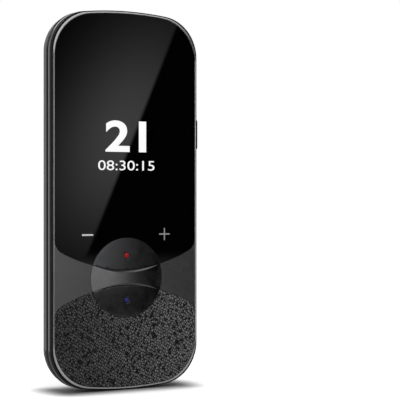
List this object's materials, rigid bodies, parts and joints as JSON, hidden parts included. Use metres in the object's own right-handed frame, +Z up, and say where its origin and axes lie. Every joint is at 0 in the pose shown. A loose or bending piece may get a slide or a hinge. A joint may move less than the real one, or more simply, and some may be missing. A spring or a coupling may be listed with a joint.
{
  "type": "handheld translator",
  "caption": "Slim hand-held translator: black glass over a leather grip pad, talk keys above and below an arched metal bar, domed gloss back with sound holes and a ringed camera.",
  "frame": {"origin": "centre of the body's outline on the ground, under its lowest point", "axes": "+Z up the body, from the leather end to the screen end; -Y out of the screen; +X to the device's right, the power key's side"},
  "size_m": [0.0574, 0.0144, 0.1319],
  "materials": {
    "gloss_black": "gloss black plastic with smooth rounded ribs",
    "screen_glass": "polished glass, printed black behind, grey touch marks",
    "satin_plate": "satin dark grey anodised plate",
    "grained_leather": "black pebbled leather",
    "key_black": "satin black key caps",
    "red_lens": "clear red pin, lit from behind",
    "blue_lens": "clear blue pin, lit from behind",
    "bright_ring": "polished ring",
    "bar_steel": "brushed bar",
    "camera_glass": "clear coated glass",
    "camera_black": "matt black with fine rings",
    "frame_black": "gloss black plastic",
    "display_glass": "dark liquid crystal cell",
    "white_plastic": "white moulded plastic",
    "circuit_green": "green solder mask with gold pads",
    "flex_amber": "amber polyimide film",
    "shield_steel": "tinned steel can",
    "screw_steel": "plated screws",
    "cell_foil": "grey foil wrap",
    "tape_black": "thin black adhesive foam",
    "silicone_grey": "grey translucent silicone",
    "wire_red": "insulated wire",
    "black_plastic": "black moulded plastic",
    "mesh_black": "fine woven dust mesh"
  },
  "bodies": {
    "housing": {"front_bezel": "gloss_black", "cover_glass": "screen_glass", "glass_tape": "tape_black", "control_plate": "satin_plate", "plate_tape": "tape_black", "leather_panel": "grained_leather", "leather_tape": "tape_black", "key_pad": "silicone_grey", "key_switches": "shield_steel", "key_leds": "white_plastic", "key_board": "circuit_green", "display_panel": "display_glass", "display_backlight": "white_plastic", "display_foam": "tape_black", "display_flex": "flex_amber", "lanyard_bar": "bar_steel", "power_switch": "shield_steel", "side_flex": "flex_amber", "microphone": "shield_steel", "mid_frame": "frame_black", "frame_screws": "screw_steel", "main_board": "circuit_green", "board_screws": "screw_steel", "processor_shield": "shield_steel", "radio_shield": "shield_steel", "board_connectors": "black_plastic", "battery": "cell_foil", "battery_protection_board": "circuit_green", "battery_tape": "tape_black", "battery_lead": "wire_red", "usb_port": "shield_steel", "charging_board": "circuit_green", "charging_screws": "screw_steel", "link_flex": "flex_amber", "speaker_housing": "black_plastic", "speaker_driver": "black_plastic", "speaker_gasket": "tape_black", "speaker_mesh": "mesh_black", "camera_module": "black_plastic", "camera_barrel": "camera_black", "camera_lens": "camera_glass", "camera_flex": "flex_amber", "camera_window": "camera_glass", "camera_ring": "bright_ring", "antenna_flex": "flex_amber", "rear_cover": "gloss_black"},
    "red_key": {"red_key": "key_black", "red_light_pipe": "red_lens"},
    "blue_key": {"blue_key": "key_black", "blue_light_pipe": "blue_lens"},
    "power_key": {"power_key": "key_black"}
  },
  "joints": [
    {"name": "red_key_press", "type": "slide", "parent": "housing", "child": "red_key", "axis": [0, 1, 0], "range_m": [0, 0.00035], "stiffness_N_per_m": 4000},
    {"name": "blue_key_press", "type": "slide", "parent": "housing", "child": "blue_key", "axis": [0, 1, 0], "range_m": [0, 0.00035], "stiffness_N_per_m": 4000},
    {"name": "power_key_press", "type": "slide", "parent": "housing", "child": "power_key", "axis": [-1, 0, 0], "range_m": [0, 0.00025], "stiffness_N_per_m": 6000}
  ]
}
